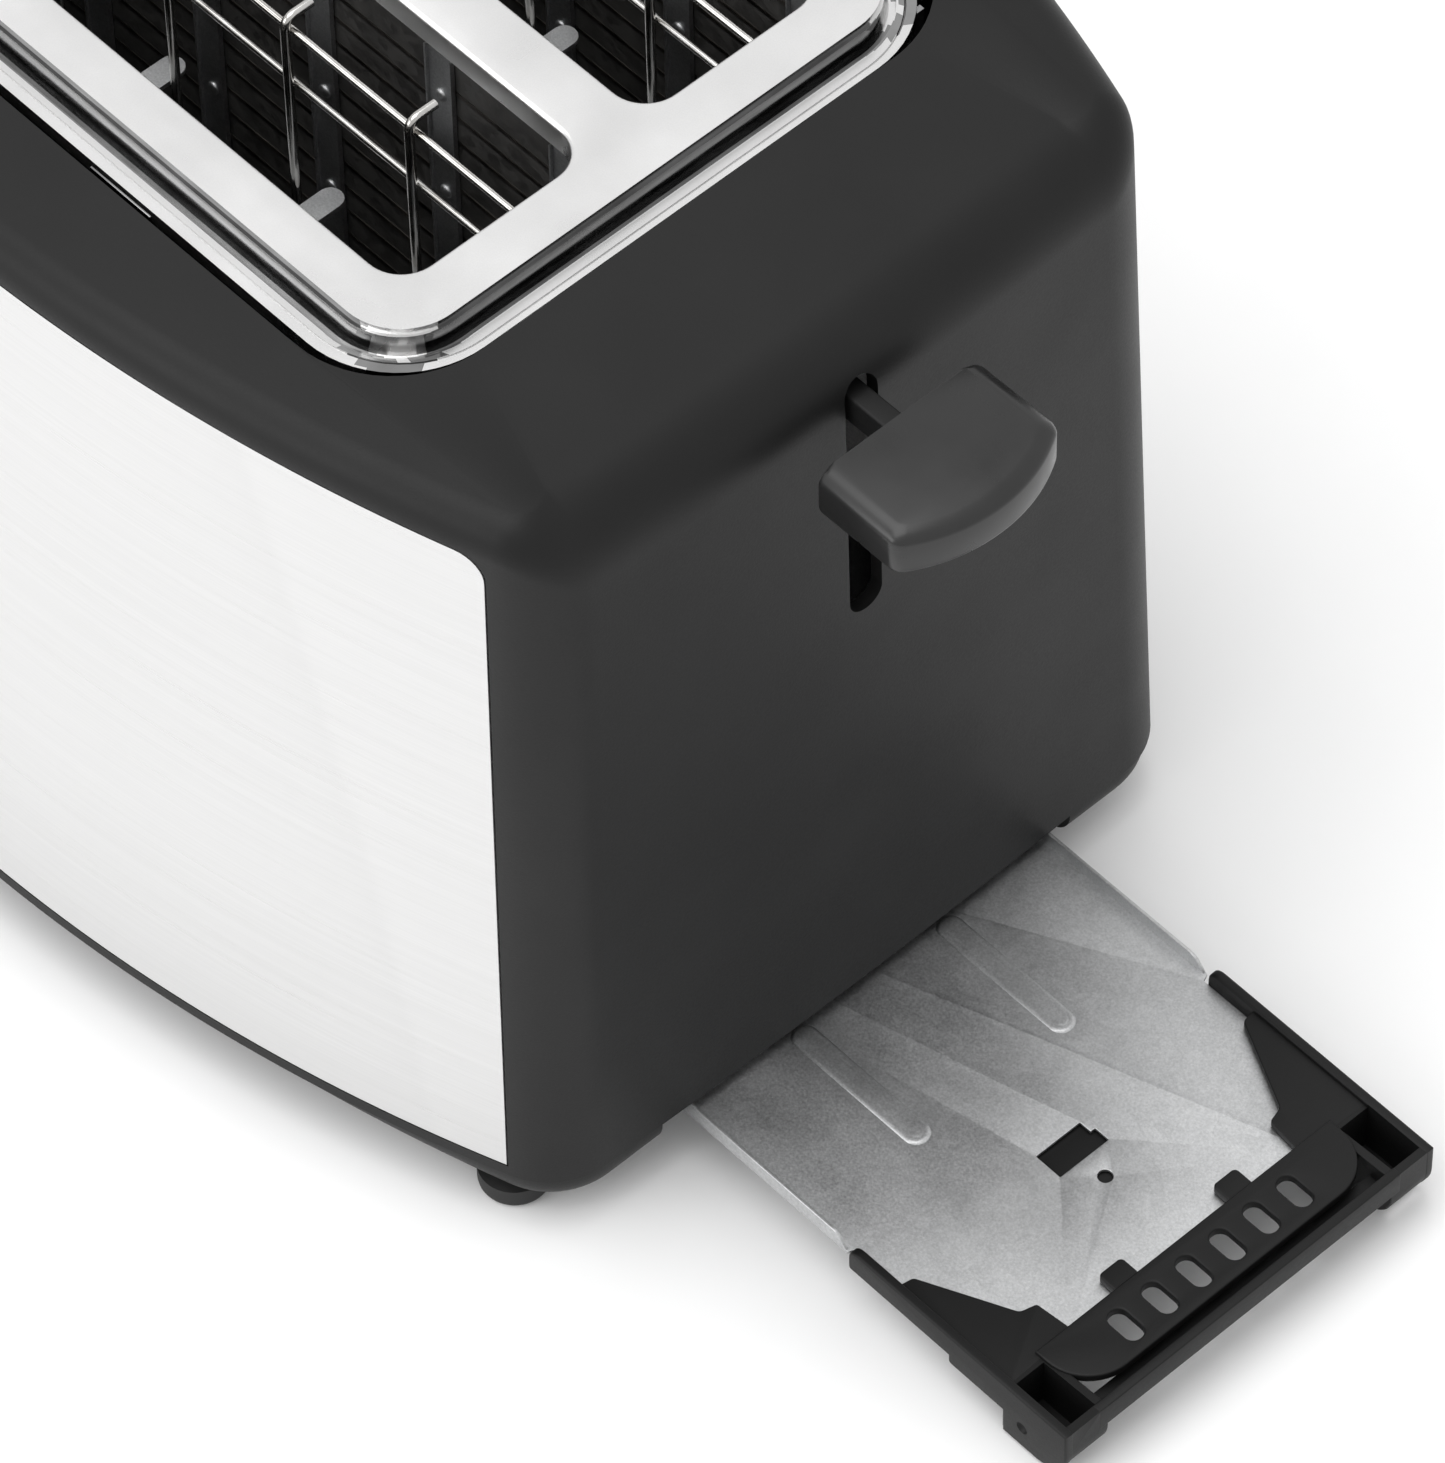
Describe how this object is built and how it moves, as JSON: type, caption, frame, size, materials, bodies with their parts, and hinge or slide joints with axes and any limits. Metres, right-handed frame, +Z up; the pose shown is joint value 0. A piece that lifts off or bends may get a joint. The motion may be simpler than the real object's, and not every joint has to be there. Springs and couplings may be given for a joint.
{
  "type": "pop-up toaster",
  "caption": "Pop-up toaster with bowed steel sides, bread slots, a lever that lowers racks and closes bread guards, a browning dial, push buttons and a crumb tray drawn out.",
  "frame": {"origin": "middle of the footprint at worktop level, with the crumb tray drawn out", "axes": "+Z up, +X along the bread slots towards the lever and the drawn-out crumb tray, +Y towards the side with the controls"},
  "size_m": [0.344, 0.184, 0.1712],
  "materials": {
    "black_plastic": "fine-grained satin black moulding",
    "gloss_plastic": "smooth black with a soft gloss",
    "brushed_steel": "brushed along the length",
    "satin_steel": "satin pressed steel, brighter on the bends",
    "galvanised": "galvanised sheet with a fine speckle",
    "chrome_wire": "bright drawn wire",
    "mica": "dark mica sheet",
    "rubber": "matt black rubber",
    "copper": "enamelled copper winding",
    "board": "green circuit board",
    "pale_plastic": "pale moulded insulator"
  },
  "bodies": {
    "body": {"housing": "black_plastic", "side_panel_plain": "brushed_steel", "side_panel_control": "brushed_steel", "top_plate": "satin_steel", "base": "black_plastic", "foot_cord_end_plain_side": "rubber", "foot_cord_end_control_side": "rubber", "foot_lever_end_plain_side": "rubber", "foot_lever_end_control_side": "rubber", "base_screw_cord_end_plain_side": "satin_steel", "base_screw_cord_end_control_side": "satin_steel", "base_screw_lever_end_plain_side": "satin_steel", "base_screw_lever_end_control_side": "satin_steel", "chassis_plate_lever_end": "galvanised", "chassis_plate_cord_end": "galvanised", "reflector_plain_side": "galvanised", "reflector_control_side": "galvanised", "heater_card_plain_side": "mica", "heater_card_centre": "mica", "heater_card_control_side": "mica", "guide_rod": "chrome_wire", "rod_bracket": "galvanised", "return_spring": "chrome_wire", "magnet_core": "satin_steel", "magnet_coil": "copper", "lower_bracket": "galvanised", "contact_block": "pale_plastic", "terminal_block": "pale_plastic", "cord_gland": "rubber", "control_board": "board", "potentiometer": "satin_steel", "switch_cancel": "gloss_plastic", "switch_reheat": "gloss_plastic", "switch_defrost": "gloss_plastic"},
    "carriage": {"bread_rack_plain_side": "galvanised", "bread_rack_control_side": "galvanised", "carriage_plate": "galvanised", "carriage_bush": "pale_plastic", "keeper_plate": "satin_steel", "lever_arm": "black_plastic", "lever_knob": "gloss_plastic"},
    "guard_1": {"bread_guard_1": "chrome_wire"},
    "guard_2": {"bread_guard_2": "chrome_wire"},
    "guard_3": {"bread_guard_3": "chrome_wire"},
    "guard_4": {"bread_guard_4": "chrome_wire"},
    "dial": {"browning_dial": "gloss_plastic", "dial_shaft": "satin_steel"},
    "cancel": {"button_cancel": "gloss_plastic"},
    "reheat": {"button_reheat": "gloss_plastic"},
    "defrost": {"button_defrost": "gloss_plastic"},
    "tray": {"crumb_tray": "galvanised", "tray_front": "black_plastic"}
  },
  "joints": [
    {"name": "lever_slide", "type": "slide", "parent": "body", "child": "carriage", "axis": [0, 0, 1], "range_m": [-0.043, 0], "stiffness_N_per_m": 60, "springref_m": 0.03, "deforming": ["return_spring"]},
    {"name": "guard_1_slide", "type": "slide", "parent": "body", "child": "guard_1", "axis": [0, 1, 0], "range_m": [0, 0.006]},
    {"name": "guard_2_slide", "type": "slide", "parent": "body", "child": "guard_2", "axis": [0, -1, 0], "range_m": [0, 0.003]},
    {"name": "guard_3_slide", "type": "slide", "parent": "body", "child": "guard_3", "axis": [0, 1, 0], "range_m": [0, 0.006]},
    {"name": "guard_4_slide", "type": "slide", "parent": "body", "child": "guard_4", "axis": [0, -1, 0], "range_m": [0, 0.003]},
    {"name": "tray_slide", "type": "slide", "parent": "body", "child": "tray", "axis": [1, 0, 0], "range_m": [-0.0893, 0.115]},
    {"name": "dial_turn", "type": "hinge", "parent": "body", "child": "dial", "pos_m": [0.04415, 0.07698, 0.122], "axis": [0.2496, 0.9684, 0], "range_deg": [-135, 135]},
    {"name": "cancel_press", "type": "slide", "parent": "body", "child": "cancel", "axis": [0.2496, 0.9684, 0], "range_m": [-0.0018, 0], "stiffness_N_per_m": 400, "springref_m": 0.0005},
    {"name": "reheat_press", "type": "slide", "parent": "body", "child": "reheat", "axis": [0.2496, 0.9684, 0], "range_m": [-0.0018, 0], "stiffness_N_per_m": 400, "springref_m": 0.0005},
    {"name": "defrost_press", "type": "slide", "parent": "body", "child": "defrost", "axis": [0.2496, 0.9684, 0], "range_m": [-0.0018, 0], "stiffness_N_per_m": 400, "springref_m": 0.0005}
  ],
  "couplings": [
    {"joint": "guard_1_slide", "follows": "lever_slide", "ratio": -0.1395},
    {"joint": "guard_2_slide", "follows": "lever_slide", "ratio": -0.0697},
    {"joint": "guard_3_slide", "follows": "lever_slide", "ratio": -0.1395},
    {"joint": "guard_4_slide", "follows": "lever_slide", "ratio": -0.0697}
  ]
}
